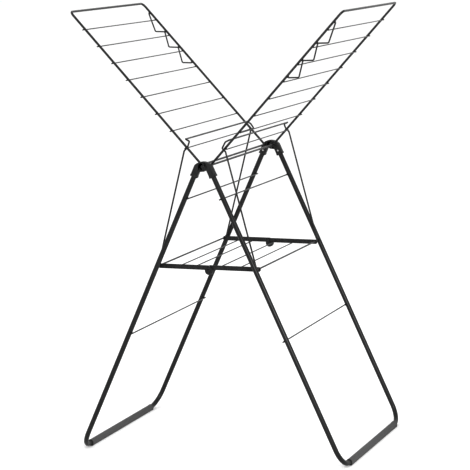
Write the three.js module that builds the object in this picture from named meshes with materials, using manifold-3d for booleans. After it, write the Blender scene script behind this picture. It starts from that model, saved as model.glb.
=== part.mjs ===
// Free-standing folding drying rack: two bent-tube leg frames hinged at the top, two rod
// wings held up by wire supports, and a two-part shelf that folds upwards between the legs.
// Millimetres, +Z up, X across the spread of the legs, Y along the rods. The origin lies on
// the floor under the middle. Every side piece is built once, reaching towards +X, and the
// left side is the same piece turned half a turn about Z.
import * as THREE from "three";
import { mergeVertices } from "three/addons/utils/BufferGeometryUtils.js";
import Module from "manifold-3d";

const wasm = await Module();
wasm.setup();

// ---- driving dimensions ------------------------------------------------------------------
const fitGap = 0.3; // air between pieces that touch
const slideGap = 0.5; // air beside rails and wires that pass each other
const cutPast = 1; // cutting tools run this far beyond a face

const standDepth = 620; // between the axes of the near and far leg tubes
const legLength = 1000; // hinge pin to foot bar, along the leg
const legAngle = THREE.MathUtils.degToRad(24.6); // each leg from the vertical
const legTube = 15;
const legWall = 1.2;
const legBend = 55; // centre-line radius of the foot corners
const legTopInset = 14; // the tube stops this far below the pin, inside its socket
const legWire = 4;
const upperWireDown = 112; // cross wires, measured from the pin along the leg
const lowerWireDown = 582;
const legWireOverhang = 9; // wire ends past the tube axes

const footWall = 1.4; // rubber beside the foot bar
const footSole = 1.8; // rubber under it
const footEndGap = 3; // strip ends to the start of the corner bends

const socketSideWall = 2.2; // towards the near and far ends of the rack
const socketWall = 2.6;
const socketFlare = 0.7;
const socketLength = 42; // pin to the open end, along the leg
const sleeveOut = 5.4; // sleeve out from the hinge pin, square to the leg
const flareLength = 5;
const knuckleRadius = 15;
const innerKnuckleRadius = 10.6;
const archRadius = 40; // the two shoulders make one arch over the pin
const knuckleGap = 0.4; // round the neighbour's knuckle
const neckBelow = THREE.MathUtils.degToRad(20.5); // where the neck leaves the knuckle
const neckAbove = THREE.MathUtils.degToRad(14.6);
const neckDrop = 1.45; // its ends on the sleeve, in knuckle radii below and above the pin
const neckRise = 0.8;
const hingePin = 6;
const pinHead = 11;
const pinHeadHeight = 2;

const screwShank = 3;
const screwHead = 6.4;
const screwHeadHeight = 1.6;
const screwChamfer = 0.6;
const screwDown = 28;

const wingAngle = THREE.MathUtils.degToRad(47.6); // raised wing above the horizontal
const wingInset = 23.3; // rail axes in from the leg axes
const wingRail = 7;
const wingBend = 16;
const wingPivot = 6;
const pivotInset = 1; // wing pivot in from the leg axis, beside the hinge pin
const pivotRise = 2; // wing pivot above the hinge pin
const pivotInSocket = 7.5; // depth of the pivot rod in its socket
const rodCount = 8;
const rodDiameter = 3.2;
const firstRod = 71.4; // wing pivot to the nearest rod
const rodPitch = 69.4;
const rodNub = 3.6; // rod ends past the rails

const hangerWire = 4.4;
const hangerTeeth = 3;
const hangerDrop = 24; // tooth tips below the rail's underside wire line
const hangerStart = 38; // first weld, back from the top bar
const hangerFirstRun = 60; // first weld to the first tooth's tip, along the wing
const hangerToothBack = 23; // run of a tooth's short flank
const hangerBend = 5;

const supportWire = 5;
const supportBend = 4.5;
const hookInset = 12.5; // hook ends in from the wing rails
const hookBelow = 9.5; // foot of the hook below the wing plane
const hookRise = 15; // top of the hook above the wing plane
const hookRun = 14; // rise of the hook over the rod, along the wing
const hookTip = 27.5; // tip past the gap beside the rod
const hookTipDrop = 5.5;
const shelfPivotDown = 351; // pin to the shelf pivot, along the leg

const bushFlange = 13;
const bushFlangeHeight = 2.4;
const bushWall = 1.2;
const bushSpigotLength = 3;

const railHeight = 14;
const railThickness = 5.6;
const railInset = 26.8; // outer shelf rails in from the leg axes
const railEyeWall = 2.2; // rail above the shelf pivot
const kneeDrop = 11.5; // knee rivet below the shelf pivots
const kneeRadius = 12.6;
const kneeRivet = 5;
const kneeHead = 9;
const kneeHeadHeight = 1.8;
const kneeHeadChamfer = 0.6;
const shelfWire = 3.4;
const shelfWireRise = 3.6; // wire above the rail's lower edge
const shelfWiresFromKnee = { left: [57, 108], right: [21.7, 85.2] };

const tubeSides = 16;
const wireSides = 10;
const bendSteps = 6;

// ---- places worked out from them ---------------------------------------------------------
const legOut = new THREE.Vector3(Math.cos(legAngle), 0, Math.sin(legAngle));
const legUp = new THREE.Vector3(-Math.sin(legAngle), 0, Math.cos(legAngle));
const legOffset = sleeveOut + socketWall + fitGap + legTube / 2;
const pivotOut = legOffset - pivotInset;
const footWidth = legTube + 2 * (fitGap + footWall);
const footBarHeight = legTube / 2 + fitGap + footSole;
const pinHeight = footBarHeight + legLength * Math.cos(legAngle) - legOffset * Math.sin(legAngle);
const legY = standDepth / 2;
const socketDepth = legTube + 2 * (fitGap + socketSideWall);
const pin = new THREE.Vector3(0, 0, pinHeight);
const wingY = legY - wingInset;
const wingBase = new THREE.Vector3(pivotOut, 0, pinHeight + pivotRise);
const wingLength = firstRod + rodCount * rodPitch;
const rodUnder = wingRail / 2 + rodDiameter / 2; // rod axis below the wing plane
const hookY = wingY - hookInset;
const shelfPivot = legPoint(legOffset, shelfPivotDown);
const bushHole = supportWire + 2 * (bushWall + 2 * fitGap);
const kneeHeight = shelfPivot.z - kneeDrop;
const railEye = supportWire / 2 + fitGap + railEyeWall;
const railTop = shelfPivot.z + railEye;
const railBottom = railTop - railHeight;
const outerRailY = legY - railInset;
const innerRailY = outerRailY - railThickness - slideGap;
const supportY = legY - legTube / 2 - bushFlangeHeight - slideGap - supportWire / 2;
const railY = { left: outerRailY, right: innerRailY };

// A point beside a leg: out square to it, down along it, both from the hinge pin.
function legPoint(out, down, y = 0) {
  return new THREE.Vector3()
    .copy(pin)
    .addScaledVector(legOut, out)
    .addScaledVector(legUp, -down)
    .setY(y);
}

// A point on the raised wing: along it from the pivot, and above its plane.
function wingPoint(along, above, y = 0) {
  return new THREE.Vector3(
    wingBase.x + along * Math.cos(wingAngle) - above * Math.sin(wingAngle),
    y,
    wingBase.z + along * Math.sin(wingAngle) + above * Math.cos(wingAngle),
  );
}

// ---- materials ---------------------------------------------------------------------------
const finish = (color, roughness, metalness) =>
  new THREE.MeshStandardMaterial({ color, roughness, metalness });
const blackPaint = finish(0x17181a, 0.45, 0.3);
const blackPlastic = finish(0x1c1c1e, 0.6, 0);
const greyPlastic = finish(0x515254, 0.65, 0);
const plainSteel = finish(0xb9bcc0, 0.3, 1);

// ---- shape helpers -----------------------------------------------------------------------
// A wire path through given points. Sections stand on the points, square to the mean of the
// runs on either side, so straight stretches need no points between their ends.
class WirePath extends THREE.Curve {
  constructor(points) {
    super();
    this.points = points;
  }
  getPoint(t) {
    const last = this.points.length - 1;
    const index = Math.min(Math.round(t * last), last);
    return this.points[index].clone();
  }
  getPointAt(u) {
    return this.getPoint(u);
  }
  getTangentAt(u) {
    const last = this.points.length - 1;
    const index = Math.min(Math.round(u * last), last);
    const before = this.points[Math.max(index - 1, 0)];
    const here = this.points[index];
    const after = this.points[Math.min(index + 1, last)];
    const arriving = here.clone().sub(before).normalize();
    const leaving = after.clone().sub(here).normalize();
    return arriving.add(leaving).normalize();
  }
}

// Corners rounded to arcs of the bend radius.
function bentPath(corners, radius, steps = bendSteps) {
  const points = [corners[0]];
  for (let i = 1; i < corners.length - 1; i += 1) {
    const arriving = corners[i].clone().sub(corners[i - 1]).normalize();
    const leaving = corners[i + 1].clone().sub(corners[i]).normalize();
    const turn = arriving.angleTo(leaving);
    const reach = radius * Math.tan(turn / 2);
    const inward = leaving.clone().sub(arriving).normalize();
    const centre = corners[i].clone().addScaledVector(inward, radius / Math.cos(turn / 2));
    const start = corners[i].clone().addScaledVector(arriving, -reach).sub(centre);
    const axis = arriving.clone().cross(leaving).normalize();
    const count = Math.max(2, Math.ceil((steps * turn) / (Math.PI / 2)));
    for (let k = 0; k <= count; k += 1) {
      points.push(start.clone().applyAxisAngle(axis, (turn * k) / count).add(centre));
    }
  }
  points.push(corners[corners.length - 1]);
  return points;
}

function ring(radius, sides, inner = 0) {
  const shape = new THREE.Shape();
  shape.setFromPoints(circlePoints(radius, sides));
  if (inner > 0) {
    shape.holes.push(new THREE.Path().setFromPoints(circlePoints(inner, sides).reverse()));
  }
  return shape;
}

function circlePoints(radius, sides, x = 0, y = 0) {
  const points = [];
  for (let k = 0; k < sides; k += 1) {
    const turn = (2 * Math.PI * (k + 0.5)) / sides;
    points.push(new THREE.Vector2(x + radius * Math.cos(turn), y + radius * Math.sin(turn)));
  }
  return points;
}

function wire(points, diameter, sides = wireSides, bore = 0) {
  const options = { steps: points.length - 1, extrudePath: new WirePath(points), bevelEnabled: false };
  return new THREE.ExtrudeGeometry(ring(diameter / 2, sides, bore / 2), options);
}

// A round bar along Y, from one Y to another.
function barAlongY(diameter, x, z, fromY, toY, sides = wireSides) {
  const bar = new THREE.CylinderGeometry(diameter / 2, diameter / 2, Math.abs(toY - fromY), sides);
  return bar.translate(x, (fromY + toY) / 2, z);
}

// A flat outline drawn in the XZ plane and given a thickness along Y.
function plateAlongY(shape, lowY, highY, curveSegments = 8) {
  const options = { depth: highY - lowY, bevelEnabled: false, curveSegments };
  const plate = new THREE.ExtrudeGeometry(shape, options);
  const basis = new THREE.Matrix4().makeBasis(
    new THREE.Vector3(1, 0, 0),
    new THREE.Vector3(0, 0, 1),
    new THREE.Vector3(0, -1, 0),
  );
  return plate.applyMatrix4(basis).translate(0, highY, 0);
}

// The same for an outline drawn beside a leg: x square to it, y up along it, from the pin.
function plateOnLeg(shape, lowY, highY) {
  const plate = new THREE.ExtrudeGeometry(shape, { depth: highY - lowY, bevelEnabled: false });
  const basis = new THREE.Matrix4().makeBasis(legOut, legUp, new THREE.Vector3(0, -1, 0));
  return plate.applyMatrix4(basis).translate(0, highY, pinHeight);
}

function solid(geometry) {
  const bare = geometry.clone();
  bare.deleteAttribute("normal");
  bare.deleteAttribute("uv");
  const merged = mergeVertices(bare, 1e-4);
  const vertProperties = new Float32Array(merged.attributes.position.array);
  const triVerts = new Uint32Array(merged.index.array);
  return new wasm.Manifold(new wasm.Mesh({ numProp: 3, vertProperties, triVerts }));
}

function surface(body) {
  const mesh = body.getMesh();
  const geometry = new THREE.BufferGeometry();
  geometry.setAttribute("position", new THREE.BufferAttribute(mesh.vertProperties.slice(), 3));
  geometry.setIndex(new THREE.BufferAttribute(mesh.triVerts.slice(), 1));
  geometry.computeVertexNormals();
  return geometry;
}

function joined(geometries) {
  return geometries.map(solid).reduce((whole, next) => whole.add(next));
}

function cut(body, tools) {
  return tools.map(solid).reduce((whole, next) => whole.subtract(next), body);
}

function named(name, geometry, material) {
  const mesh = new THREE.Mesh(geometry, material);
  mesh.name = name;
  return mesh;
}

// ---- legs --------------------------------------------------------------------------------
function legFrame() {
  const corners = [
    legPoint(legOffset, legTopInset, -legY),
    legPoint(legOffset, legLength, -legY),
    legPoint(legOffset, legLength, legY),
    legPoint(legOffset, legTopInset, legY),
  ];
  const tube = wire(bentPath(corners, legBend, 8), legTube, tubeSides, legTube - 2 * legWall);
  const holes = [-1, 1].flatMap((end) => {
    const innerFace = end * (legY - legTube);
    const screw = legPoint(legOffset, screwDown);
    return [
      barAlongY(bushHole, shelfPivot.x, shelfPivot.z, innerFace, end * legY, 16),
      barAlongY(screwShank + 2 * fitGap, screw.x, screw.z, innerFace, end * legY, 10),
    ];
  });
  return surface(cut(solid(tube), holes));
}

function footStrip() {
  const half = footWidth / 2;
  const bar = legPoint(legOffset, legLength);
  const shape = new THREE.Shape();
  shape.moveTo(bar.x - half, 0);
  shape.lineTo(bar.x + half, 0);
  shape.lineTo(bar.x + half, bar.z);
  shape.absarc(bar.x, bar.z, half, 0, Math.PI);
  shape.closePath();
  const bore = circlePoints(legTube / 2 + fitGap, tubeSides, bar.x, bar.z).reverse();
  shape.holes.push(new THREE.Path().setFromPoints(bore));
  const reach = legY - legBend - footEndGap;
  return plateAlongY(shape, -reach, reach, 8);
}

function legCrossWire(down) {
  const inward = legTube / 2 + legWire / 2 + fitGap;
  const place = legPoint(legOffset - inward, down);
  const reach = legY + legWireOverhang;
  return barAlongY(legWire, place.x, place.z, -reach, reach);
}

// ---- hinge sockets -----------------------------------------------------------------------
// The sleeve grips the tube; the shoulder above it carries the wing pivot and reaches the
// knuckle. At one end of the rack the knuckle is the large outer one, at the other it is the
// small inner one, and each leaves room for the knuckle of the socket it is pinned to.
function socketOutline() {
  const half = legTube / 2 + fitGap + socketWall;
  const near = legOffset - half;
  const far = legOffset + half;
  const flareTop = flareLength - socketLength;
  const archOut = (knuckleRadius - archRadius) * Math.sin(legAngle);
  const archUp = (knuckleRadius - archRadius) * Math.cos(legAngle);
  const archStart = Math.acos((far - archOut) / archRadius);
  const archEnd = Math.PI / 2 - legAngle - Math.asin(fitGap / archRadius);
  const splitTop = (near * Math.cos(legAngle) - fitGap) / Math.sin(legAngle);
  const shape = new THREE.Shape();
  shape.moveTo(near - socketFlare, -socketLength);
  shape.lineTo(far + socketFlare, -socketLength);
  shape.lineTo(far + socketFlare, flareTop);
  shape.lineTo(far, flareTop + socketFlare);
  shape.absarc(archOut, archUp, archRadius, archStart, archEnd);
  shape.lineTo(near, splitTop);
  shape.lineTo(near, flareTop + socketFlare);
  shape.lineTo(near - socketFlare, flareTop);
  shape.closePath();
  return shape;
}

// The neck leaves the knuckle at a tangent above and below, and fans out onto the sleeve.
function neckOutline(radius) {
  const near = legOffset - legTube / 2;
  const shape = new THREE.Shape();
  shape.moveTo(0, 0);
  shape.lineTo(-radius * Math.sin(neckBelow), -radius * Math.cos(neckBelow));
  shape.lineTo(near, -neckDrop * radius);
  shape.lineTo(legOffset, 0);
  shape.lineTo(near, neckRise * radius);
  shape.lineTo(radius * Math.sin(neckAbove), radius * Math.cos(neckAbove));
  shape.closePath();
  return shape;
}

function hingeSocket(end, knuckleOutside) {
  const low = legY - socketDepth / 2;
  const high = legY + socketDepth / 2;
  const split = fitGap / 2;
  const outerHalf = [legY + split, high];
  const innerHalf = [low, legY - split];
  const own = knuckleOutside ? outerHalf : innerHalf;
  const other = knuckleOutside ? innerHalf : outerHalf;
  const ownRadius = knuckleOutside ? knuckleRadius : innerKnuckleRadius;
  const otherRadius = knuckleOutside ? innerKnuckleRadius : knuckleRadius;
  const bounds = (range) => (end > 0 ? range : [-range[1], -range[0]]);
  const at = (shape, range) => plateOnLeg(shape, ...bounds(range));
  const body = joined([
    at(socketOutline(), [low, high]),
    at(neckOutline(ownRadius), own),
    barAlongY(2 * ownRadius, 0, pinHeight, ...bounds(own), 28),
  ]);
  const bore = new THREE.CylinderGeometry(legTube / 2 + fitGap, legTube / 2 + fitGap, legLength, tubeSides);
  const turned = new THREE.Matrix4().makeRotationY(-legAngle);
  const boreTop = legTopInset - fitGap;
  const boreMiddle = legPoint(legOffset, boreTop + legLength / 2, end * legY);
  bore.rotateX(Math.PI / 2).applyMatrix4(turned).translate(boreMiddle.x, boreMiddle.y, boreMiddle.z);
  const room = knuckleOutside
    ? [other[0] - cutPast, other[1] + fitGap]
    : [other[0] - fitGap, other[1] + cutPast];
  const pivotHole = [low - cutPast, low + pivotInSocket + fitGap];
  const screw = legPoint(legOffset, screwDown);
  return surface(
    cut(body, [
      bore,
      barAlongY(2 * (otherRadius + knuckleGap), 0, pinHeight, ...bounds(room), 28),
      barAlongY(hingePin + 2 * fitGap, 0, pinHeight, ...bounds([low - cutPast, high + cutPast]), 16),
      barAlongY(wingPivot + 2 * fitGap, wingBase.x, wingBase.z, ...bounds(pivotHole), 14),
      barAlongY(screwShank + 2 * fitGap, screw.x, screw.z, ...bounds([low - cutPast, legY]), 10),
    ]),
  );
}

// A stepped pin along Y, drawn as radius and distance from the middle of the rack.
function turnedAlongY(steps, x, z, end, sides = 16) {
  const profile = steps.map(([radius, y]) => new THREE.Vector2(radius, y));
  const pinShape = new THREE.LatheGeometry(profile, sides);
  if (end < 0) pinShape.rotateX(Math.PI);
  return pinShape.translate(x, 0, z);
}

function hingePinAt(end) {
  const low = legY - socketDepth / 2 - fitGap;
  const high = legY + socketDepth / 2 + fitGap;
  const steps = [
    [0, low - pinHeadHeight],
    [pinHead / 2, low - pinHeadHeight],
    [pinHead / 2, low],
    [hingePin / 2, low],
    [hingePin / 2, high],
    [pinHead / 2, high],
    [pinHead / 2, high + pinHeadHeight],
    [0, high + pinHeadHeight],
  ];
  return turnedAlongY(steps, 0, pinHeight, end, 20);
}

function socketScrew(end) {
  const face = legY - socketDepth / 2 - fitGap;
  const place = legPoint(legOffset, screwDown);
  const steps = [
    [0, face - screwHeadHeight],
    [screwHead / 2 - screwChamfer, face - screwHeadHeight],
    [screwHead / 2, face - screwHeadHeight / 2],
    [screwHead / 2, face],
    [screwShank / 2, face],
    [screwShank / 2, legY - legTube / 2 + 2 * legWall],
    [0, legY - legTube / 2 + 2 * legWall],
  ];
  return turnedAlongY(steps, place.x, place.z, end, 14);
}

function pivotBush(end) {
  const face = legY - legTube / 2 - fitGap;
  const bore = supportWire / 2 + fitGap;
  const spigot = bore + bushWall;
  const steps = [
    [bore, face - bushFlangeHeight],
    [bushFlange / 2, face - bushFlangeHeight],
    [bushFlange / 2, face],
    [spigot, face],
    [spigot, face + bushSpigotLength],
    [bore, face + bushSpigotLength],
    [bore, face - bushFlangeHeight],
  ];
  return turnedAlongY(steps, shelfPivot.x, shelfPivot.z, end, 18);
}

// ---- wings -------------------------------------------------------------------------------
function wingFrame() {
  const start = wingPivot / 2 + fitGap;
  const corners = [
    wingPoint(start, 0, -wingY),
    wingPoint(wingLength, 0, -wingY),
    wingPoint(wingLength, 0, wingY),
    wingPoint(start, 0, wingY),
  ];
  return wire(bentPath(corners, wingBend, 6), wingRail, 12);
}

function wingPivotRod() {
  const reach = legY - socketDepth / 2 + pivotInSocket;
  return barAlongY(wingPivot, wingBase.x, wingBase.z, -reach, reach, 14);
}

// Rod 1 is next to the top bar, the last one next to the pivot.
function wingRod(number) {
  const place = wingPoint(firstRod + (rodCount - number) * rodPitch, -rodUnder - fitGap);
  const reach = wingY + wingRail / 2 + rodNub;
  return barAlongY(rodDiameter, place.x, place.z, -reach, reach);
}

// Saw-tooth wire under one rail: each tooth holds a garment hanger.
function hangerRail() {
  const weld = -(wingRail / 2 + hangerWire / 2 + fitGap);
  const tip = weld - hangerDrop;
  const start = wingLength - hangerStart;
  const corners = [wingPoint(start, weld, -wingY)];
  for (let tooth = 0; tooth < hangerTeeth; tooth += 1) {
    const tipAlong = start - hangerFirstRun - tooth * rodPitch;
    corners.push(wingPoint(tipAlong, tip, -wingY));
    corners.push(wingPoint(tipAlong - hangerToothBack, weld, -wingY));
  }
  return wire(bentPath(corners, hangerBend, 4), hangerWire);
}

// ---- wing supports -----------------------------------------------------------------------
// A straight bottom rod turns in the leg bushes. The sides of the upright loop welded to it
// pass outside the wing rails, short of the nearest rod, then step in over them to the hook.
function wingSupport() {
  const pass = firstRod - rodDiameter / 2 - supportWire / 2 - slideGap;
  const side = (end) => [
    shelfPivot.clone().setY(end * supportY),
    wingPoint(pass, -hookBelow, end * supportY),
    wingPoint(pass, supportWire, end * supportY),
    wingPoint(pass + hookRun, hookRise, end * hookY),
    wingPoint(pass + hookTip, hookRise - hookTipDrop, end * hookY),
  ];
  const corners = [...side(-1), ...side(1).reverse()];
  const rodEnd = legY - legTube / 2 + bushSpigotLength;
  const bottomRod = barAlongY(supportWire, shelfPivot.x, shelfPivot.z, -rodEnd, rodEnd);
  return surface(joined([wire(bentPath(corners, supportBend, 6), supportWire), bottomRod]));
}

// ---- shelf -------------------------------------------------------------------------------
function shelfRail(side, end) {
  const shape = new THREE.Shape();
  shape.moveTo(0, railBottom);
  shape.lineTo(shelfPivot.x, railBottom);
  shape.lineTo(shelfPivot.x + railEye, railBottom + railEye);
  shape.lineTo(shelfPivot.x + railEye, shelfPivot.z);
  shape.absarc(shelfPivot.x, shelfPivot.z, railEye, 0, Math.PI / 2);
  shape.lineTo(0, railTop);
  shape.closePath();
  const low = end * railY[side] - railThickness / 2;
  const high = low + railThickness;
  const body = joined([
    plateAlongY(shape, low, high, 6),
    barAlongY(2 * kneeRadius, 0, kneeHeight, low, high, 28),
  ]);
  const wireHoles = shelfWiresFromKnee[side].map((distance) =>
    barAlongY(shelfWire + 2 * fitGap, distance, railBottom + shelfWireRise, low - cutPast, high + cutPast),
  );
  return surface(
    cut(body, [
      barAlongY(supportWire + 2 * fitGap, shelfPivot.x, shelfPivot.z, low - cutPast, high + cutPast, 14),
      barAlongY(kneeRivet + 2 * fitGap, 0, kneeHeight, low - cutPast, high + cutPast, 14),
      ...wireHoles,
    ]),
  );
}

function shelfCrossWire(side, distance) {
  const reach = railY[side] + railThickness / 2;
  return barAlongY(shelfWire, distance, railBottom + shelfWireRise, -reach, reach);
}

// Each rail keeps its own half of the knee rivet, headed on the side away from the other.
function kneeRivetHalf(side, end) {
  const outside = side === "left";
  const middle = railY[side];
  const direction = outside ? 1 : -1;
  const face = middle + direction * (railThickness / 2 + fitGap);
  const back = middle - direction * (railThickness / 2);
  const steps = [
    [0, back],
    [kneeRivet / 2, back],
    [kneeRivet / 2, face],
    [kneeHead / 2, face],
    [kneeHead / 2 - kneeHeadChamfer, face + direction * kneeHeadHeight],
    [0, face + direction * kneeHeadHeight],
  ];
  if (!outside) steps.reverse();
  return turnedAlongY(steps, 0, kneeHeight, end, 16);
}

// ---- assembly ----------------------------------------------------------------------------
function buildSide(side) {
  const group = new THREE.Group();
  group.rotation.z = side === "left" ? Math.PI : 0;
  const endName = (end) => (end > 0 === (side === "right") ? "far" : "near");
  const put = (name, geometry, material) => group.add(named(name, geometry, material));

  put(`leg_frame_${side}`, legFrame(), blackPaint);
  put(`foot_strip_${side}`, footStrip(), greyPlastic);
  put(`leg_wire_upper_${side}`, legCrossWire(upperWireDown), blackPaint);
  put(`leg_wire_lower_${side}`, legCrossWire(lowerWireDown), blackPaint);
  put(`wing_frame_${side}`, wingFrame(), blackPaint);
  put(`wing_pivot_rod_${side}`, wingPivotRod(), blackPaint);
  put(`hanger_rail_${side}`, hangerRail(), blackPaint);
  put(`wing_support_${side}`, wingSupport(), blackPaint);
  for (let number = 1; number <= rodCount; number += 1) {
    put(`wing_rod_${side}_${number}`, wingRod(number), blackPaint);
  }
  shelfWiresFromKnee[side].forEach((distance, index) => {
    put(`shelf_wire_${side}_${index + 1}`, shelfCrossWire(side, distance), blackPaint);
  });
  for (const end of [-1, 1]) {
    const place = endName(end);
    put(`hinge_socket_${side}_${place}`, hingeSocket(end, end > 0), blackPlastic);
    put(`socket_screw_${side}_${place}`, socketScrew(end), plainSteel);
    put(`pivot_bush_${side}_${place}`, pivotBush(end), blackPlastic);
    put(`shelf_rail_${side}_${place}`, shelfRail(side, end), blackPlastic);
    put(`knee_rivet_${side}_${place}`, kneeRivetHalf(side, end), blackPaint);
  }
  return group;
}

const rack = new THREE.Group();
rack.add(buildSide("left"), buildSide("right"));
rack.add(named("hinge_pin_near", hingePinAt(-1), blackPaint));
rack.add(named("hinge_pin_far", hingePinAt(1), blackPaint));

export default rack;
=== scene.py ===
import math

import bmesh
import bpy
from mathutils import Matrix, Vector


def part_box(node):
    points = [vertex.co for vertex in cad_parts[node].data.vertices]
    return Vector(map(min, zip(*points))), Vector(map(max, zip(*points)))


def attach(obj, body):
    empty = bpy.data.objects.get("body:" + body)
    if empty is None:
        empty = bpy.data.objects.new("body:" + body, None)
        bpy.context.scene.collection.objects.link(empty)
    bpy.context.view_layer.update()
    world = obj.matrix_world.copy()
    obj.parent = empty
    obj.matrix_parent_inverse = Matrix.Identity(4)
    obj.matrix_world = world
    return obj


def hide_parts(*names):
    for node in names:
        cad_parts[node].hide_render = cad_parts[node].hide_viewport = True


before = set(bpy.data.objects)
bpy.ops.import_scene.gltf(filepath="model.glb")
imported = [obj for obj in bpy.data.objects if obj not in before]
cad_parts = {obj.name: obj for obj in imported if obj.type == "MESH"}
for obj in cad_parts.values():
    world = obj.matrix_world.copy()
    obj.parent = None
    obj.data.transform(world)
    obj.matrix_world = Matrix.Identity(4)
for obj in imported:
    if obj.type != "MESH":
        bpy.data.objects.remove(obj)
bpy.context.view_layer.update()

# Lengths are in millimetres and angles in degrees; meshes are scaled to metres when they are made.
millimetre = 0.001

rack = {
    "legAngle": 24.6,  # each leg from the vertical
    "legOffset": 15.8,  # leg axis out from the hinge pin
    "legLength": 1000,  # hinge pin to foot bar
    "wingAngle": 47.6,  # raised wing above the level
    "wingLength": 626.6,  # wing pivot to top bar
    "wingRail": 7.0,
    "rod": 3.2,
    "supportWire": 5.0,
}

sides = {"left": -1, "right": 1}


# ---- places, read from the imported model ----
def boxOf(node):
    low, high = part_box(node)
    return Vector(low) / millimetre, Vector(high) / millimetre


def middleOf(node):
    low, high = boxOf(node)
    return (low + high) / 2


# The two ends of a straight bar along Y.
def barEnds(node):
    low, high = boxOf(node)
    middle = (low + high) / 2
    return [Vector((middle.x, y, middle.z)) for y in (low.y, high.y)]


pinHeight = middleOf("hinge_pin_near").z
legY = middleOf("hinge_socket_right_far").y
wingPivot = middleOf("wing_pivot_rod_right")
shelfPivot = middleOf("pivot_bush_right_far")
wingRailY = boxOf("wing_frame_right")[1].y - rack["wingRail"] / 2
legSlope = math.radians(rack["legAngle"])
wingSlope = math.radians(rack["wingAngle"])


# Beside a leg: out square to it and down along it from the hinge pin. The left side is the
# right side turned half a turn, so side also turns y.
def legPoint(out, down, y, side=1):
    x = out * math.cos(legSlope) + down * math.sin(legSlope)
    z = pinHeight + out * math.sin(legSlope) - down * math.cos(legSlope)
    return Vector((side * x, side * y, z))


# On a raised wing: along it from its pivot and above its plane.
def wingPoint(along, above, y, side=1):
    x = wingPivot.x + along * math.cos(wingSlope) - above * math.sin(wingSlope)
    z = wingPivot.z + along * math.sin(wingSlope) + above * math.cos(wingSlope)
    return Vector((side * x, side * y, z))


# Directions along a raised wing and square to it, upwards.
def wingAxes(side):
    start = wingPoint(0, 0, 0, side)
    return wingPoint(1, 0, 0, side) - start, wingPoint(0, 1, 0, side) - start


# A point on the right half, or turned half a turn on to the left one.
def turnedPoint(x, y, z, side):
    return Vector((side * x, side * y, z))


# ---- lines and outlines ----
# Corners of a path rounded to arcs, with a point every few degrees.
def bentPath(corners, radius, stepAngle=7.5):
    points = [corners[0]]
    for before, here, after in zip(corners, corners[1:], corners[2:]):
        arriving = (here - before).normalized()
        leaving = (after - here).normalized()
        turn = arriving.angle(leaving)
        reach = radius * math.tan(turn / 2)
        centre = here + (leaving - arriving).normalized() * radius / math.cos(turn / 2)
        start = here - arriving * reach - centre
        axis = arriving.cross(leaving).normalized()
        count = max(2, math.ceil(math.degrees(turn) / stepAngle))
        for step in range(count + 1):
            points.append(centre + Matrix.Rotation(turn * step / count, 3, axis) @ start)
    points.append(corners[-1])
    return points


# A closed outline with each corner (x, y, radius) rounded, anticlockwise.
def roundedOutline(corners, steps=6):
    points = []
    for index, (x, y, radius) in enumerate(corners):
        here = Vector((x, y))
        before = Vector(corners[index - 1][:2])
        after = Vector(corners[(index + 1) % len(corners)][:2])
        if radius <= 0:
            points.append(here)
            continue
        arriving = (here - before).normalized()
        leaving = (after - here).normalized()
        turn = math.atan2(arriving.x * leaving.y - arriving.y * leaving.x, arriving.dot(leaving))
        reach = radius * math.tan(abs(turn) / 2)
        inward = Vector((-arriving.y, arriving.x)) * math.copysign(1, turn)
        start = here - arriving * reach
        centre = start + inward * radius
        for step in range(steps + 1):
            points.append(centre + Matrix.Rotation(turn * step / steps, 2) @ (start - centre))
    return points


# An anticlockwise outline moved inwards by a distance.
def insetOutline(outline, distance):
    moved = []
    for index, here in enumerate(outline):
        before = outline[index - 1]
        after = outline[(index + 1) % len(outline)]
        first = (here - before).normalized()
        second = (after - here).normalized()
        normals = Vector((-first.y, first.x)), Vector((-second.y, second.x))
        share = max(0.35, 1 + normals[0].dot(normals[1]))
        moved.append(here + (normals[0] + normals[1]) * distance / share)
    return moved


# An outline with its points spread evenly.
def evenOutline(outline, spacing):
    lengths = [(outline[(k + 1) % len(outline)] - outline[k]).length for k in range(len(outline))]
    total = sum(lengths)
    count = round(total / spacing)
    points = []
    index, passed = 0, 0.0
    for step in range(count):
        wanted = total * step / count
        while passed + lengths[index] < wanted:
            passed += lengths[index]
            index += 1
        share = (wanted - passed) / lengths[index]
        points.append(outline[index].lerp(outline[(index + 1) % len(outline)], share))
    return points


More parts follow.
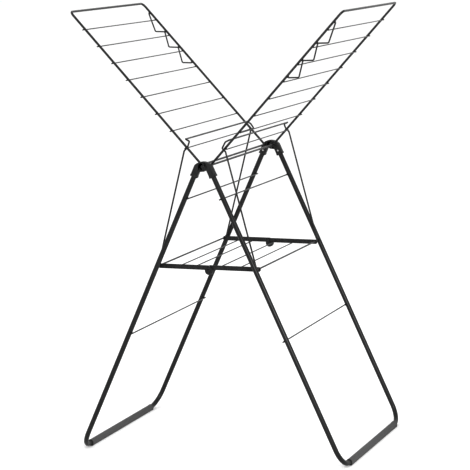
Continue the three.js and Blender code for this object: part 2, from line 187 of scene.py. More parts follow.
# ---- mesh drafts ----
class Draft:
    def __init__(self):
        self.points = []
        self.faces = []

    def ring(self, points):
        first = len(self.points)
        self.points.extend(points)
        return list(range(first, first + len(points)))

    def band(self, lower, upper):
        for index in range(len(lower)):
            after = (index + 1) % len(lower)
            self.faces.append((lower[index], lower[after], upper[after], upper[index]))

    def skin(self, rings):
        numbered = [self.ring(points) for points in rings]
        for lower, upper in zip(numbered, numbered[1:]):
            self.band(lower, upper)
        self.faces.append(tuple(reversed(numbered[0])))
        self.faces.append(tuple(numbered[-1]))

    # A round bar or tube along a path, its ends rounded over by edge.
    def tube(self, path, diameter, segments=24, edge=0.4):
        radius = diameter / 2
        runs = [(b - a).normalized() for a, b in zip(path, path[1:])]
        headings = [(a + b).normalized() for a, b in zip([runs[0], *runs], [*runs, runs[-1]])]
        stations = [(point, heading, radius) for point, heading in zip(path, headings)]
        rounding = [math.radians(angle) for angle in (90, 60, 30)]

        def endStation(point, inward, heading, angle):
            centre = point + inward * edge * (1 - math.sin(angle))
            return centre, heading, radius - edge * (1 - math.cos(angle))

        starts = [endStation(path[0], runs[0], runs[0], angle) for angle in rounding]
        ends = [endStation(path[-1], -runs[-1], runs[-1], angle) for angle in reversed(rounding)]
        stations[0] = (path[0] + runs[0] * edge, runs[0], radius)
        stations[-1] = (path[-1] - runs[-1] * edge, runs[-1], radius)
        across = runs[0].orthogonal().normalized()
        rings = []
        for centre, heading, reach in [*starts, *stations, *ends]:
            across = (across - heading * across.dot(heading)).normalized()
            other = heading.cross(across)
            turns = [2 * math.pi * step / segments for step in range(segments)]
            rings.append([centre + (across * math.cos(t) + other * math.sin(t)) * reach for t in turns])
        self.skin(rings)

    # A shape turned about an axis: profile holds (radius, distance along the axis).
    def turned(self, profile, centre, axis=Vector((0, 1, 0)), segments=40):
        across = axis.orthogonal().normalized()
        other = axis.cross(across)
        turns = [2 * math.pi * step / segments for step in range(segments)]
        spokes = [across * math.cos(turn) + other * math.sin(turn) for turn in turns]
        self.skin([[centre + axis * along + spoke * radius for spoke in spokes] for radius, along in profile])

    # A flat moulding with rounded edges, and optionally a sunk panel on both faces.
    def plate(self, outline, low, high, place, edge=0.8, panel=None):
        rounding = [math.radians(angle) for angle in (90, 60, 30, 0)]
        layers = [(edge * (1 - math.cos(angle)), low + edge * (1 - math.sin(angle))) for angle in rounding]
        layers += [(inset, low + high - level) for inset, level in reversed(layers)]
        if panel:
            border, depth = panel
            layers = [(border + depth, low + depth), (border, low), *layers]
            layers += [(border, high), (border + depth, high - depth)]
        outlines = [(insetOutline(outline, inset), level) for inset, level in layers]
        self.skin([[place(p.x, p.y, level) for p in points] for points, level in outlines])

    # A lump of weld metal: three half-axes, and a number that makes each one a little different.
    def weld(self, centre, axes, seed, rows=8, segments=12):
        rings = []
        for row in range(1, rows):
            tilt = math.pi * row / rows
            points = []
            for step in range(segments):
                turn = 2 * math.pi * step / segments
                swell = 1 + 0.09 * math.sin(3 * turn + 1.7 * seed) + 0.06 * math.sin(5 * tilt + seed)
                spread = axes[0] * math.cos(turn) + axes[1] * math.sin(turn)
                points.append(centre + (spread * math.sin(tilt) + axes[2] * math.cos(tilt)) * swell)
            rings.append(points)
        self.skin(rings)

    def piece(self, name, body, slotName, node, sharp=38, origin=Vector((0, 0, 0))):
        mesh = bpy.data.meshes.new(name)
        mesh.from_pydata([(p - origin) * millimetre for p in self.points], [], self.faces)
        mesh.validate()
        shell = bmesh.new()
        shell.from_mesh(mesh)
        bmesh.ops.recalc_face_normals(shell, faces=shell.faces)
        shell.to_mesh(mesh)
        shell.free()
        mesh.shade_smooth()
        mesh.set_sharp_from_angle(angle=math.radians(sharp))
        mesh.materials.append(finishes[slotName])
        made = bpy.data.objects.new(name, mesh)
        made.location = origin * millimetre
        bpy.context.scene.collection.objects.link(made)
        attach(made, body)
        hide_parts(node)
        return made


# ---- finishes ----
# An output socket of a material. Arithmetic on it adds Math nodes.
class Link:
    def __init__(self, finish, socket):
        self.finish = finish
        self.socket = socket

    def maths(self, operation, first, second):
        return self.finish.add("ShaderNodeMath", {"operation": operation}, {0: first, 1: second})

    def __add__(self, other):
        return self.maths("ADD", self, other)

    def __radd__(self, other):
        return self.maths("ADD", other, self)

    def __sub__(self, other):
        return self.maths("SUBTRACT", self, other)

    def __rsub__(self, other):
        return self.maths("SUBTRACT", other, self)

    def __mul__(self, other):
        return self.maths("MULTIPLY", self, other)

    def __rmul__(self, other):
        return self.maths("MULTIPLY", other, self)


class Finish:
    def __init__(self, name):
        self.material = bpy.data.materials.new(name)
        self.material.use_nodes = True
        self.tree = self.material.node_tree
        self.tree.nodes.clear()

    def add(self, kind, settings=None, sockets=None, out=0):
        node = self.tree.nodes.new(kind)
        for name, value in (settings or {}).items():
            setattr(node, name, value)
        for key, value in (sockets or {}).items():
            if isinstance(value, Link):
                self.tree.links.new(value.socket, node.inputs[key])
            else:
                node.inputs[key].default_value = value
        return Link(self, node.outputs[out]) if node.outputs else node

    # Object coordinates in millimetres, stretched by three factors.
    def place(self, stretch=(1, 1, 1)):
        spot = self.add("ShaderNodeTexCoord", out=3)
        scale = [factor / millimetre for factor in stretch]
        return self.add("ShaderNodeVectorMath", {"operation": "MULTIPLY"}, {0: spot, 1: scale})

    def noise(self, place, size, detail=2.0, roughness=0.5):
        sockets = {"Vector": place, "Scale": 1 / size, "Detail": detail, "Roughness": roughness}
        return self.add("ShaderNodeTexNoise", {}, sockets)

    def grains(self, place, size):
        return self.add("ShaderNodeTexVoronoi", {}, {"Vector": place, "Scale": 1 / size})

    # 0 below one value, 1 above another, smooth between them.
    def step(self, value, start, end):
        sockets = {"Value": value, "From Min": start, "From Max": end}
        return self.add("ShaderNodeMapRange", {"interpolation_type": "SMOOTHSTEP"}, sockets)

    def blend(self, share, first, second):
        sockets = {0: share, 6: first, 7: second}
        return self.add("ShaderNodeMix", {"data_type": "RGBA"}, sockets, out=2)

    # 1 where the surface faces up as the rack stands.
    def upward(self, start=0.25, end=1.0):
        normal = self.add("ShaderNodeTexCoord", out=1)
        height = self.add("ShaderNodeSeparateXYZ", {}, {0: normal}, out=2)
        return self.step(height, start, end)

    def bump(self, height, depth, strength=1.0):
        sockets = {"Height": height, "Distance": depth * millimetre, "Strength": strength}
        return self.add("ShaderNodeBump", {}, sockets)

    def surface(self, sockets):
        shader = self.add("ShaderNodeBsdfPrincipled", {}, sockets)
        self.add("ShaderNodeOutputMaterial", {}, {"Surface": shader})
        return self.material


def grey(level, warmth=0.0):
    return (level * (1 + warmth), level, level * (1 - warmth), 1)


# Satin powder coat over bent steel tube.
def paintedTube():
    look = {
        "paint": grey(0.0085, -0.03),
        "cloudy": grey(0.014, -0.03),
        "dust": grey(0.06, 0.03),
        "scratch": grey(0.075),
        "peelSize": 0.85,
        "peelDepth": 0.018,
        "roughness": 0.34,
        "gloss": 0.42,
    }
    finish = Finish("blackPaintedTube")
    place = finish.place()
    cloud = finish.noise(place, 42, 3)
    paint = finish.blend(finish.step(cloud, 0.38, 0.68), look["paint"], look["cloudy"])
    lines = finish.noise(finish.place((1, 0.05, 0.05)), 0.42, 2)
    patches = finish.step(finish.noise(place, 55, 2), 0.56, 0.7)
    scratches = finish.step(lines, 0.68, 0.74) * patches
    scratched = finish.blend(scratches * 0.7, paint, look["scratch"])
    settled = finish.upward() * finish.step(finish.noise(place, 9, 4), 0.35, 0.75)
    colour = finish.blend(settled * 0.16, scratched, look["dust"])
    peel = finish.noise(place, look["peelSize"], 1)
    speckle = finish.noise(place, 5, 3)
    roughness = look["roughness"] + 0.1 * (speckle - 0.5) + 0.18 * scratches + 0.1 * settled
    normal = finish.bump(peel - 0.4 * scratches, look["peelDepth"], 0.75)
    return finish.surface(
        {
            "Base Color": colour,
            "Roughness": roughness,
            "Normal": normal,
            "Specular IOR Level": look["gloss"],
        }
    )


# Thin dipped coating on drawn wire, a little glossier and lumpier than the tubes.
def coatedWire():
    look = {
        "coat": grey(0.0125, -0.02),
        "thin": grey(0.024, -0.02),
        "rubbed": grey(0.085),
        "dipSize": 2.4,
        "dipDepth": 0.03,
        "roughness": 0.33,
        "gloss": 0.45,
    }
    finish = Finish("blackCoatedWire")
    place = finish.place()
    dips = finish.noise(place, look["dipSize"], 2)
    thin = finish.step(finish.noise(place, 16, 3), 0.45, 0.7)
    coat = finish.blend(thin, look["coat"], look["thin"])
    specks = finish.step(finish.noise(place, 1.3, 2), 0.68, 0.76)
    rubbed = specks * finish.step(finish.noise(place, 34, 2), 0.52, 0.64)
    colour = finish.blend(rubbed * 0.8, coat, look["rubbed"])
    roughness = look["roughness"] + 0.14 * (dips - 0.5) + 0.2 * rubbed
    normal = finish.bump(dips - 0.3 * rubbed, look["dipDepth"], 0.7)
    return finish.surface(
        {
            "Base Color": colour,
            "Roughness": roughness,
            "Normal": normal,
            "Specular IOR Level": look["gloss"],
        }
    )


# Moulded nylon with a fine spark-eroded grain.
def mouldedPlastic():
    look = {
        "plastic": grey(0.0115, -0.02),
        "pale": grey(0.022, -0.02),
        "chalk": grey(0.07, 0.02),
        "grainSize": 0.42,
        "grainDepth": 0.045,
        "roughness": 0.52,
        "gloss": 0.4,
    }
    finish = Finish("blackMouldedPlastic")
    place = finish.place()
    grain = finish.grains(place, look["grainSize"])
    flow = finish.noise(finish.place((1, 1, 0.25)), 6, 3)
    plastic = finish.blend(finish.step(flow, 0.35, 0.7), look["plastic"], look["pale"])
    handled = finish.step(finish.noise(place, 7, 4), 0.58, 0.74)
    colour = finish.blend(handled * 0.3, plastic, look["chalk"])
    roughness = look["roughness"] + 0.12 * (grain - 0.5) - 0.1 * handled
    return finish.surface(
        {
            "Base Color": colour,
            "Roughness": roughness,
            "Normal": finish.bump(grain, look["grainDepth"], 0.6),
            "Specular IOR Level": look["gloss"],
        }
    )


# Extruded grey floor strip: matt, with fine drawn lines along its length and scuffs low down.
def extrudedStrip():
    look = {
        "strip": grey(0.074),
        "pale": grey(0.1),
        "scuff": grey(0.15, 0.03),
        "collar": grey(0.022),
        "collarFrom": 245.5,  # distance from the middle of the strip
        "lineSize": 0.3,
        "lineDepth": 0.05,
        "roughness": 0.56,
        "gloss": 0.38,
    }
    finish = Finish("greyExtrudedStrip")
    place = finish.place()
    lines = finish.noise(finish.place((1, 0.012, 1)), look["lineSize"], 2)
    strip = finish.blend(finish.step(lines, 0.35, 0.65), look["strip"], look["pale"])
    scuffs = finish.step(finish.noise(finish.place((1, 0.2, 1)), 3.4, 4), 0.6, 0.72)
    low = 1 - finish.step(finish.add("ShaderNodeSeparateXYZ", {}, {0: place}, out=2), 1.5, 7.0)
    scuffed = finish.blend(scuffs * (0.25 + 0.5 * low), strip, look["scuff"])
    across = finish.add("ShaderNodeSeparateXYZ", {}, {0: place}, out=1)
    collar = finish.step(across * across, look["collarFrom"] ** 2, (look["collarFrom"] + 0.8) ** 2)
    colour = finish.blend(collar * 0.85, scuffed, look["collar"])
    roughness = look["roughness"] + 0.12 * (lines - 0.5) + 0.12 * scuffs
    return finish.surface(
        {
            "Base Color": colour,
            "Roughness": roughness,
            "Normal": finish.bump(lines + 0.3 * scuffs, look["lineDepth"], 0.7),
            "Specular IOR Level": look["gloss"],
        }
    )


# Zinc-plated steel, turned: rings round its own Y axis.
def platedSteel():
    look = {
        "zinc": grey(0.52, 0.01),
        "tarnish": grey(0.3, 0.05),
        "ringSize": 0.16,
        "ringDepth": 0.012,
        "roughness": 0.26,
    }
    finish = Finish("platedSteel")
    place = finish.place()
    flat = finish.add("ShaderNodeVectorMath", {"operation": "MULTIPLY"}, {0: place, 1: (1, 0, 1)})
    outward = finish.add("ShaderNodeVectorMath", {"operation": "LENGTH"}, {0: flat}, out=1)
    spot = finish.add("ShaderNodeCombineXYZ", {}, {"X": outward})
    rings = finish.noise(spot, look["ringSize"], 2)
    stains = finish.step(finish.noise(place, 1.6, 4), 0.45, 0.75)
    colour = finish.blend(stains * 0.5, look["zinc"], look["tarnish"])
    roughness = look["roughness"] + 0.12 * rings + 0.2 * stains
    return finish.surface(
        {
            "Base Color": colour,
            "Metallic": 1.0,
            "Roughness": roughness,
            "Normal": finish.bump(rings, look["ringDepth"], 0.8),
        }
    )


finishes = {
    "black_painted_tube": paintedTube(),
    "black_coated_wire": coatedWire(),
    "black_plastic": mouldedPlastic(),
    "grey_plastic": extrudedStrip(),
    "plain_steel": platedSteel(),
}
print("finishes made:", len(finishes))


# ---- legs ----
legTube = {"diameter": 15.0, "bend": 55.0, "topInset": 14.0}


def makeLegTube(sideName):
    side = sides[sideName]
    corners = [
        legPoint(rack["legOffset"], legTube["topInset"], -legY, side),
        legPoint(rack["legOffset"], rack["legLength"], -legY, side),
        legPoint(rack["legOffset"], rack["legLength"], legY, side),
        legPoint(rack["legOffset"], legTube["topInset"], legY, side),
    ]
    draft = Draft()
    draft.tube(bentPath(corners, legTube["bend"], 4), legTube["diameter"], segments=40, edge=0.5)
    draft.piece(f"legTube_{sideName}", f"leg_{sideName}", "black_painted_tube", f"leg_frame_{sideName}")


footStrip = {
    "width": 18.4,
    "edge": 1.6,  # rounding along the floor
    "groovePitch": 2.3,
    "grooveDepth": 0.4,
    "collarLength": 9.0,  # plain raised band at each end
    "collarRise": 0.55,
    "boreDiameter": 15.4,
}


def makeFootStrip(sideName):
    node = f"foot_strip_{sideName}"
    low, high = boxOf(node)
    middle = (low + high) / 2
    half = footStrip["width"] / 2
    barHeight = high.z - half
    corners = [(-half, 0, footStrip["edge"]), (half, 0, footStrip["edge"])]
    outline = roundedOutline([*corners, (half, barHeight, 0)])[:-1]
    outline += [
        Vector((half * math.cos(turn), barHeight + half * math.sin(turn)))
        for turn in [math.pi * step / 108 for step in range(109)]
    ]
    outline = evenOutline(outline, 0.38)

    # fine grooves all round but for the flat underside
    def ribbed(points, depth):
        moved = []
        travelled = 0
        inner = insetOutline(points, 1.0)
        for index, here in enumerate(points):
            travelled += (here - points[index - 1]).length
            wave = max(0.0, math.sin(2 * math.pi * travelled / footStrip["groovePitch"])) ** 0.6
            share = depth * wave if here.y > 1.2 else 0
            moved.append(here + (inner[index] - here) * share)
        return moved

    def raised(points, rise):
        outer = insetOutline(points, -rise)
        return [far if near.y > 1.2 else near for near, far in zip(points, outer)]

    ribs = ribbed(outline, footStrip["grooveDepth"])
    collar = raised(outline, footStrip["collarRise"])
    bore = []
    for point in outline:
        turn = math.atan2(point.y - barHeight, point.x)
        radius = footStrip["boreDiameter"] / 2
        bore.append(Vector((radius * math.cos(turn), barHeight + radius * math.sin(turn))))
    length = footStrip["collarLength"]
    stations = [
        (0.0, bore),
        (0.0, insetOutline(collar, 0.5)),
        (0.5, collar),
        (length - 0.5, collar),
        (length, raised(outline, 0.1)),
        (length + 0.3, ribs),
    ]
    rows = [(low.y + run, shape) for run, shape in stations]
    rows += [(high.y - run, shape) for run, shape in reversed(stations)]
    draft = Draft()
    draft.skin([[Vector((middle.x + p.x, y, p.y)) for p in shape] for y, shape in rows])
    draft.piece(f"footGrip_{sideName}", f"leg_{sideName}", "grey_plastic", node, sharp=50)


crossWire = {
    "diameter": 4.0,
    "endRounding": 0.9,
    "weld": (3.4, 2.4, 1.7),  # half-axes: along the leg, along the wire, outwards
    "weldLift": 0.42,  # out from the wire's axis, in diameters
}


def makeLegWire(sideName, height):
    node = f"leg_wire_{height}_{sideName}"
    side = sides[sideName]
    middle = middleOf(node)
    draft = Draft()
    draft.tube(barEnds(node), crossWire["diameter"], edge=crossWire["endRounding"])
    outward = Vector((side * math.cos(legSlope), 0, math.sin(legSlope)))
    along = Vector((-side * math.sin(legSlope), 0, math.cos(legSlope)))
    length, width, rise = crossWire["weld"]
    for number, y in enumerate((-legY, legY)):
        centre = Vector((middle.x, y, middle.z)) + outward * crossWire["diameter"] * crossWire["weldLift"]
        axes = along * length, Vector((0, width, 0)), outward * rise
        draft.weld(centre, axes, number + (0 if height == "upper" else 2))
    draft.piece(f"legCrossWire_{height}_{sideName}", f"leg_{sideName}", "black_coated_wire", node)


# ---- hinge sockets, pins and screws ----
socket = {
    "halfWidth": 10.4,  # across the leg
    "halfDepth": 10.0,  # along the rods
    "flare": 0.7,
    "flareLength": 5.0,
    "length": 42.0,  # pin to the open end
    "edge": 2.6,
    "arch": 40.0,  # both shoulders make one arch over the pin
    "knuckle": 15.0,
    "innerKnuckle": 10.6,
    "split": 0.15,  # half the gap to the other socket
    "collar": 5.4,  # ring round the wing pivot rod
    "collarBore": 3.2,
    # the rim's section round the mouth: (radius, how far past the mouth)
    "rim": [(7.6, -1.6), (9.4, -1.6), (9.2, 0.1), (8.6, 0.5), (7.8, 0.3), (7.6, 0)],
}


def makeSocket(sideName, place):
    side = sides[sideName]
    end = side if place == "far" else -side
    knuckleOutside = end > 0
    half, length, flare = socket["halfWidth"], socket["length"], socket["flare"]
    near, far = rack["legOffset"] - half, rack["legOffset"] + half
    flareTop = socket["flareLength"] - length
    arch = socket["arch"]
    archOut = (socket["knuckle"] - arch) * math.sin(legSlope)
    archUp = (socket["knuckle"] - arch) * math.cos(legSlope)
    archStart = math.acos((far - archOut) / arch)
    archEnd = math.pi / 2 - legSlope - math.asin(2 * socket["split"] / arch)
    splitTop = (near * math.cos(legSlope) - 2 * socket["split"]) / math.sin(legSlope)
    foot = [
        (near - flare, -length, 0.9),
        (far + flare, -length, 0.9),
        (far + flare, flareTop, 0.5),
        (far, flareTop + flare, 0.5),
        (far, archUp + arch * math.sin(archStart), 6.0),
    ]
    crown = []
    for step in range(3, 11):  # the first tenths go to the rounded shoulder
        turn = archStart + (archEnd - archStart) * step / 10
        crown.append((archOut + arch * math.cos(turn), archUp + arch * math.sin(turn), 0))
    neckSide = [(near, splitTop, 0.8), (near, flareTop + flare, 0.5), (near - flare, flareTop, 0.5)]
    sleeve = roundedOutline([*foot, *crown, *neckSide])

    def onLeg(out, up, y):
        return legPoint(out, -up, end * y, side)

    draft = Draft()
    low, high = legY - socket["halfDepth"], legY + socket["halfDepth"]
    draft.plate(sleeve, low, high, onLeg, edge=socket["edge"])

    ownRadius = socket["knuckle"] if knuckleOutside else socket["innerKnuckle"]
    own = (legY + socket["split"], high) if knuckleOutside else (low, legY - socket["split"])
    tube = legTube["diameter"] / 2
    neck = roundedOutline(
        [
            (-0.35 * ownRadius, -0.93 * ownRadius, 0.5),
            (rack["legOffset"] - tube, -1.45 * ownRadius, 0.5),
            (rack["legOffset"], 0, 0.5),
            (rack["legOffset"] - tube, 0.8 * ownRadius, 0.5),
            (0.25 * ownRadius, 0.96 * ownRadius, 0.5),
        ]
    )
    draft.plate(neck, *own, onLeg, edge=1.2)
    start, finish = own
    knuckle = [
        (ownRadius - 5.6, start),
        (ownRadius - 1.0, start),
        (ownRadius - 0.3, start + 0.3),
        (ownRadius, start + 1.0),
        (ownRadius, finish - 1.6),
        (ownRadius - 0.5, finish - 0.5),
        (ownRadius - 1.6, finish),
        (ownRadius - 3.0, finish),
        (ownRadius - 3.5, finish - 0.7),
        (ownRadius - 4.4, finish - 0.7),
        (ownRadius - 4.9, finish),
        (ownRadius - 5.6, finish),
    ]
    centre = Vector((0, 0, pinHeight))
    draft.turned(knuckle, centre, Vector((0, side * end, 0)), 56)

    mouth = legPoint(rack["legOffset"], length, end * legY, side)
    downward = legPoint(rack["legOffset"], length + 1, end * legY, side) - mouth
    draft.turned(socket["rim"], mouth, downward, 40)

    pivot = turnedPoint(wingPivot.x, 0, wingPivot.z, side)
    collar, bore = socket["collar"], socket["collarBore"]
    profile = [
        (bore, low - 0.2),
        (collar - 0.7, low - 0.2),
        (collar, low + 0.3),
        (collar, low + 2),
        (bore, low + 2),
    ]
    draft.turned(profile, pivot, Vector((0, side * end, 0)), 32)
    node = f"hinge_socket_{sideName}_{place}"
    draft.piece(f"cornerSocket_{sideName}_{place}", f"leg_{sideName}", "black_plastic", node, sharp=32)


hingePin = {"head": 11.0, "headHeight": 2.0, "shank": 6.0, "dimple": 1.6}


def makeHingePin(place):
    node = f"hinge_pin_{place}"
    low, high = boxOf(node)
    centre = (low + high) / 2
    half = (high.y - low.y) / 2
    radius, tall = hingePin["head"] / 2, hingePin["headHeight"]
    shank, dimple = hingePin["shank"] / 2, hingePin["dimple"]
    head = [
        (0.3, half - 0.7),
        (dimple * 0.7, half - 0.55),
        (dimple, half - 0.1),
        (dimple + 0.3, half),
        (radius * 0.6, half - 0.08),
        (radius * 0.85, half - 0.5),
        (radius * 0.96, half - 1.0),
        (radius, half - tall + 0.35),
        (radius - 0.3, half - tall),
        (shank, half - tall),
    ]
    draft = Draft()
    profile = [(r, -y) for r, y in head] + list(reversed(head))
    draft.turned(profile, centre, segments=48)
    draft.piece(f"pinRivet_{place}", "leg_left", "black_painted_tube", node, sharp=45, origin=centre)


screw = {
    "head": 6.4,
    "headHeight": 1.6,
    "shank": 3.0,
    "slotLength": 2.0,
    "slotWidth": 0.5,
    "slotDepth": 0.9,
}


# A pan-head screw with a cross recess pressed into its head.
def makeScrew(sideName, place):
    node = f"socket_screw_{sideName}_{place}"
    low, high = boxOf(node)
    inner = -1 if place == "far" else 1
    face = low.y if place == "far" else high.y
    centre = Vector(((low.x + high.x) / 2, face, (low.z + high.z) / 2))
    radius, tall = screw["head"] / 2, screw["headHeight"]

    def headPoint(reach, turn):
        x, z = reach * math.cos(turn), reach * math.sin(turn)
        dome = tall * (1 - 0.75 * (reach / radius) ** 3.2)
        upright = max(abs(x) / screw["slotWidth"], abs(z) / screw["slotLength"])
        level = max(abs(z) / screw["slotWidth"], abs(x) / screw["slotLength"])
        inSlot = min(1.0, max(0.0, (1.25 - min(upright, level)) / 0.5))
        sink = screw["slotDepth"] * inSlot * (1 - reach / radius)
        return centre + Vector((x, inner * (dome - tall - sink), z))

    turns = [2 * math.pi * step / 64 for step in range(64)]
    reaches = [0.06, *[0.16 * k for k in range(1, 20)], radius]
    rings = [[headPoint(reach, t) for t in turns] for reach in reaches]
    for reach, back in ((radius, tall - 0.2), (radius - 0.2, tall), (screw["shank"] / 2, tall)):
        depth = -inner * back
        rings.append([centre + Vector((reach * math.cos(t), depth, reach * math.sin(t))) for t in turns])
    if inner < 0:
        rings = [list(reversed(ring)) for ring in rings]
    draft = Draft()
    draft.skin(rings)
    name = f"panScrew_{sideName}_{place}"
    draft.piece(name, f"leg_{sideName}", "plain_steel", node, sharp=50, origin=centre)


bush = {"flange": 13.0, "flangeHeight": 2.4, "spigot": 8.0, "bore": 5.2, "dish": 0.5}


def makeBush(sideName, place):
    node = f"pivot_bush_{sideName}_{place}"
    low, high = boxOf(node)
    outward = 1 if place == "far" else -1
    inside = low.y if place == "far" else high.y
    centre = Vector(((low.x + high.x) / 2, inside, (low.z + high.z) / 2))
    radius, tall, bore = bush["flange"] / 2, bush["flangeHeight"], bush["bore"] / 2
    profile = [
        (bore, 1.0),
        (bore, 0.1),
        (bore + 0.4, 0.0),
        (bore + 1.1, 0.0),
        (bore + 1.5, bush["dish"]),
        (radius - 1.4, bush["dish"]),
        (radius - 1.0, 0.1),
        (radius - 0.4, 0.1),
        (radius, 0.5),
        (radius, tall - 0.2),
        (radius - 0.2, tall),
        (bush["spigot"] / 2, tall),
        (bush["spigot"] / 2, high.y - low.y),
    ]
    draft = Draft()
    draft.turned(profile, centre, Vector((0, outward, 0)), 48)
    draft.piece(f"legBush_{sideName}_{place}", f"leg_{sideName}", "black_plastic", node, origin=centre)


for sideName in sides:
    makeLegTube(sideName)
    makeFootStrip(sideName)
    makeLegWire(sideName, "upper")
    makeLegWire(sideName, "lower")
    for place in ("near", "far"):
        makeSocket(sideName, place)
        makeScrew(sideName, place)
        makeBush(sideName, place)
makeHingePin("near")
makeHingePin("far")
print("legs, sockets, pins and bushes made")


# ---- wings ----
wing = {
    "bend": 16.0,
    "railStart": 3.3,  # rail ends from the pivot
    "pivotWire": 6.0,
    "endWeld": (4.2, 4.3, 3.2),
}


def makeWingFrame(sideName):
    side = sides[sideName]
    length = rack["wingLength"]
    corners = [
        wingPoint(wing["railStart"], 0, -wingRailY, side),
        wingPoint(length, 0, -wingRailY, side),
        wingPoint(length, 0, wingRailY, side),
        wingPoint(wing["railStart"], 0, wingRailY, side),
    ]
    draft = Draft()
    draft.tube(bentPath(corners, wing["bend"], 6), rack["wingRail"], segments=28)
    along, above = wingAxes(side)
    length, width, rise = wing["endWeld"]
    for number, y in enumerate((-wingRailY, wingRailY)):
        centre = wingPoint(wing["railStart"] + 0.6, 0, y, side)
        draft.weld(centre, (along * length, Vector((0, width, 0)), above * rise), number + 5)
    draft.piece(f"wingRails_{sideName}", f"wing_{sideName}", "black_coated_wire", f"wing_frame_{sideName}")


def makePivotRod(sideName):
    node = f"wing_pivot_rod_{sideName}"
    draft = Draft()
    draft.tube(barEnds(node), wing["pivotWire"], segments=28)
    draft.piece(f"pivotWire_{sideName}", f"wing_{sideName}", "black_coated_wire", node)


rodWeld = {
    "along": 2.7,
    "across": 2.2,
    "rise": 1.25,
    "lift": 0.46,  # up from the rod's axis, in diameters
    "endRounding": 1.1,
}


def makeRod(sideName, number):
    node = f"wing_rod_{sideName}_{number}"
    side = sides[sideName]
    middle = middleOf(node)
    draft = Draft()
    draft.tube(barEnds(node), rack["rod"], segments=20, edge=rodWeld["endRounding"])
    along, above = wingAxes(side)
    for place, y in enumerate((-wingRailY, wingRailY)):
        centre = Vector((middle.x, y, middle.z)) + above * rack["rod"] * rodWeld["lift"]
        axes = along * rodWeld["along"], Vector((0, rodWeld["across"], 0)), above * rodWeld["rise"]
        draft.weld(centre, axes, 2 * number + place)
    draft.piece(f"dryingRod_{sideName}_{number}", f"wing_{sideName}", "black_coated_wire", node)


hanger = {
    "wire": 4.4,
    "teeth": 3,
    "drop": 24.0,
    "start": 38.0,  # first weld back from the top bar
    "firstRun": 60.0,
    "pitch": 69.4,
    "toothBack": 23.0,
    "bend": 5.0,
    "gap": 0.3,
    "weld": (4.6, 2.4, 1.4),
}


def makeHangerRail(sideName):
    side = sides[sideName]
    weldLine = -(rack["wingRail"] / 2 + hanger["wire"] / 2 + hanger["gap"])
    start = rack["wingLength"] - hanger["start"]
    corners = [wingPoint(start, weldLine, -wingRailY, side)]
    welds = [start - 1.5]
    for tooth in range(hanger["teeth"]):
        tip = start - hanger["firstRun"] - tooth * hanger["pitch"]
        corners.append(wingPoint(tip, weldLine - hanger["drop"], -wingRailY, side))
        corners.append(wingPoint(tip - hanger["toothBack"], weldLine, -wingRailY, side))
        welds.append(tip - hanger["toothBack"] + (1.0 if tooth == hanger["teeth"] - 1 else -0.5))
    draft = Draft()
    draft.tube(bentPath(corners, hanger["bend"], 9), hanger["wire"], segments=24, edge=0.8)
    along, above = wingAxes(side)
    length, width, rise = hanger["weld"]
    for number, spot in enumerate(welds):
        centre = wingPoint(spot, -rack["wingRail"] / 2 - hanger["gap"] - 0.4, -wingRailY, side)
        draft.weld(centre, (along * length, Vector((0, width, 0)), above * rise), number + 9)
    node = f"hanger_rail_{sideName}"
    draft.piece(f"hangerTeeth_{sideName}", f"wing_{sideName}", "black_coated_wire", node)


support = {
    "gap": 0.5,  # clear of the leg bushes and of the nearest rod
    "bend": 4.5,
    "firstRod": 71.4,
    "below": 9.5,
    "hookInset": 12.5,  # hook ends in from the wing rails
    "run": 14.0,
    "rise": 15.0,
    "tip": 27.5,
    "tipDrop": 5.5,
    "footWeld": (3.4, 3.0, 3.4),
}


# The loop's sides pass outside the wing rails, then step in over them to the hook.
def makeSupport(sideName):
    node = f"wing_support_{sideName}"
    side = sides[sideName]
    wire = rack["supportWire"]
    sideY = -boxOf("pivot_bush_right_near")[1].y - wire / 2 - support["gap"]
    hookY = wingRailY - support["hookInset"]
    passing = support["firstRod"] - rack["rod"] / 2 - wire / 2 - support["gap"]

    def flank(end):
        return [
            turnedPoint(shelfPivot.x, end * sideY, shelfPivot.z, side),
            wingPoint(passing, -support["below"], end * sideY, side),
            wingPoint(passing, wire, end * sideY, side),
            wingPoint(passing + support["run"], support["rise"], end * hookY, side),
            wingPoint(passing + support["tip"], support["rise"] - support["tipDrop"], end * hookY, side),
        ]

    draft = Draft()
    draft.tube(bentPath([*flank(-1), *reversed(flank(1))], support["bend"], 9), wire, segments=24)
    low, high = boxOf(node)
    axle = [turnedPoint(shelfPivot.x, y, shelfPivot.z, side) for y in (low.y, high.y)]
    draft.tube(axle, wire, segments=24)
    length, width, height = support["footWeld"]
    axes = Vector((length, 0, 0)), Vector((0, width, 0)), Vector((0, 0, height))
    for number, end in enumerate((-1, 1)):
        centre = turnedPoint(shelfPivot.x, end * sideY, shelfPivot.z + 1.2, side)
        draft.weld(centre, axes, number + 3)
    draft.piece(f"supportLoop_{sideName}", f"support_{sideName}", "black_coated_wire", node)


for sideName in sides:
    makeWingFrame(sideName)
    makePivotRod(sideName)
    makeHangerRail(sideName)
    makeSupport(sideName)
    for number in range(1, 9):
        makeRod(sideName, number)
print("wings, rods and supports made")


# ---- shelf ----
shelf = {
    "height": 14.0,
    "eye": 5.0,
    "knuckle": 12.6,
    "edge": 0.9,
    "panel": (2.4, 0.7),  # border and depth of the sunk panel
    "wire": 3.4,
}


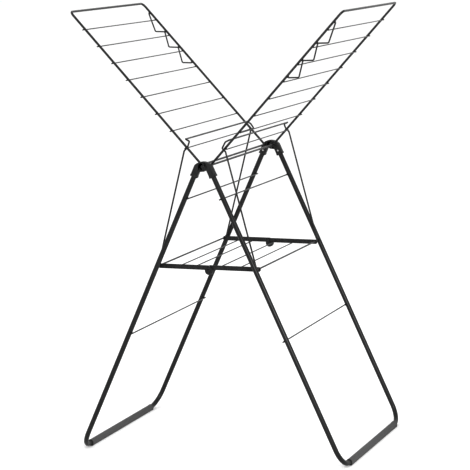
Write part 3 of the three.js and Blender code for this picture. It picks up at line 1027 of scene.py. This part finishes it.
def makeShelfRail(sideName, place):
    node = f"shelf_rail_{sideName}_{place}"
    side = sides[sideName]
    low, high = boxOf(node)
    top = high.z
    bottom = top - shelf["height"]
    eye = shelf["eye"]
    knee = middleOf(f"knee_rivet_{sideName}_{place}").z
    end = side if place == "far" else -side
    inner, outer = (abs(low.y), abs(high.y)) if place == "far" else (abs(high.y), abs(low.y))
    outline = roundedOutline(
        [
            (0, bottom, 0),
            (shelfPivot.x + eye, bottom, 5.4),
            (shelfPivot.x + eye, top, eye),
            (0, top, 0),
        ]
    )

    def onRail(x, z, y):
        return turnedPoint(x, end * y, z, side)

    draft = Draft()
    draft.plate(outline, inner, outer, onRail, edge=shelf["edge"], panel=shelf["panel"])
    radius = shelf["knuckle"]
    disc = [
        (3.0, inner),
        (radius - 0.9, inner),
        (radius - 0.25, inner + 0.25),
        (radius, inner + 0.9),
        (radius, outer - 0.9),
        (radius - 0.25, outer - 0.25),
        (radius - 0.9, outer),
        (radius - 2.4, outer),
        (radius - 3.0, outer - 0.6),
        (radius - 5.6, outer - 0.6),
        (radius - 6.2, outer),
        (3.0, outer),
    ]
    draft.turned(disc, Vector((0, 0, knee)), Vector((0, side * end, 0)), 56)
    draft.piece(f"shelfBar_{sideName}_{place}", f"shelf_{sideName}", "black_plastic", node, sharp=32)


def makeShelfWire(sideName, number):
    node = f"shelf_wire_{sideName}_{number}"
    draft = Draft()
    draft.tube(barEnds(node), shelf["wire"], segments=20, edge=0.5)
    draft.piece(f"shelfRod_{sideName}_{number}", f"shelf_{sideName}", "black_coated_wire", node)


kneeRivet = {"head": 9.0, "headHeight": 1.8, "shank": 4.8}


def makeKneeRivet(sideName, place):
    node = f"knee_rivet_{sideName}_{place}"
    low, high = boxOf(node)
    # the left rails are the outer ones, so their heads face outwards and the others inwards
    outward = (1 if place == "far" else -1) * (1 if sideName == "left" else -1)
    face = high.y if outward > 0 else low.y
    centre = Vector(((low.x + high.x) / 2, face, (low.z + high.z) / 2))
    radius, tall, shank = kneeRivet["head"] / 2, kneeRivet["headHeight"], kneeRivet["shank"] / 2
    profile = [
        (shank, high.y - low.y),
        (shank, tall),
        (radius - 0.2, tall),
        (radius, tall - 0.25),
        (radius * 0.97, tall - 0.7),
        (radius * 0.86, 0.55),
        (radius * 0.66, 0.2),
        (radius * 0.4, 0.04),
        (0.9, 0.0),
        (0.6, 0.15),
        (0.15, 0.2),
    ]
    draft = Draft()
    draft.turned([(r, -back) for r, back in profile], centre, Vector((0, outward, 0)), 44)
    name = f"kneeHead_{sideName}_{place}"
    draft.piece(name, f"shelf_{sideName}", "black_painted_tube", node, sharp=45, origin=centre)


for sideName in sides:
    makeShelfWire(sideName, 1)
    makeShelfWire(sideName, 2)
    for place in ("near", "far"):
        makeShelfRail(sideName, place)
        makeKneeRivet(sideName, place)
print("shelf made")


# ---- floor, light and camera ----
studio = {
    "floor": 0.93,
    "floorReach": 60.0,  # metres from the middle
    "sky": 1.12,
    "contrast": 0.72,  # tone curve: below 1 deepens the dark tones
    "lamps": [
        {"name": "keyLamp", "place": (-2.6, -3.4, 3.8), "size": 2.6, "power": 42},
        {"name": "fillLamp", "place": (2.9, -3.5, 2.0), "size": 1.1, "power": 105},
        {"name": "backLamp", "place": (0.6, 3.8, 3.4), "size": 2.4, "power": 16},
    ],
}


def makeFloor():
    finish = Finish("paleFloor")
    haze = finish.noise(finish.place(), 900, 2)
    level = studio["floor"]
    colour = finish.blend(haze, grey(level - 0.01), grey(level))
    material = finish.surface({"Base Color": colour, "Roughness": 0.9, "Specular IOR Level": 0.1})
    reach = studio["floorReach"]
    mesh = bpy.data.meshes.new("studioFloor")
    corners = [(-reach, -reach, 0), (reach, -reach, 0), (reach, reach, 0), (-reach, reach, 0)]
    mesh.from_pydata(corners, [], [(0, 1, 2, 3)])
    mesh.materials.append(material)
    floor = bpy.data.objects.new("studioFloor", mesh)
    bpy.context.scene.collection.objects.link(floor)


def makeLights():
    world = bpy.data.worlds.new("studioSky")
    world.use_nodes = True
    world.node_tree.nodes["Background"].inputs["Color"].default_value = (1, 1, 1, 1)
    world.node_tree.nodes["Background"].inputs["Strength"].default_value = studio["sky"]
    bpy.context.scene.world = world
    target = Vector((0, 0, 0.6))
    for setting in studio["lamps"]:
        lamp = bpy.data.lights.new(setting["name"], "AREA")
        lamp.shape = "DISK"
        lamp.size = setting["size"]
        lamp.energy = setting["power"]
        holder = bpy.data.objects.new(setting["name"], lamp)
        holder.location = setting["place"]
        holder.rotation_euler = (target - holder.location).to_track_quat("-Z", "Y").to_euler()
        bpy.context.scene.collection.objects.link(holder)


camera = {
    "place": (2.24192, -6.06646, 1.6496),
    "azimuth": 20.434,
    "elevation": 8.729,
    "roll": -1.096,
    "lens": 157.64,
}


def makeCamera():
    azimuth, elevation, roll = (math.radians(camera[key]) for key in ("azimuth", "elevation", "roll"))
    forward = Vector(
        (
            -math.sin(azimuth) * math.cos(elevation),
            math.cos(azimuth) * math.cos(elevation),
            -math.sin(elevation),
        )
    )
    level = Vector((math.cos(azimuth), math.sin(azimuth), 0))
    upright = level.cross(forward)
    right = level * math.cos(roll) + upright * math.sin(roll)
    up = upright * math.cos(roll) - level * math.sin(roll)
    lens = bpy.data.cameras.new("studioCamera")
    lens.lens = camera["lens"]
    lens.sensor_width = 36
    lens.clip_end = 200
    holder = bpy.data.objects.new("studioCamera", lens)
    heading = Matrix((right, up, -forward)).transposed().to_4x4()
    holder.matrix_world = Matrix.Translation(camera["place"]) @ heading
    bpy.context.scene.collection.objects.link(holder)
    bpy.context.scene.camera = holder


makeFloor()
makeLights()
makeCamera()
bpy.context.scene.view_settings.view_transform = "Standard"
bpy.context.scene.view_settings.gamma = studio["contrast"]
print("studio ready")
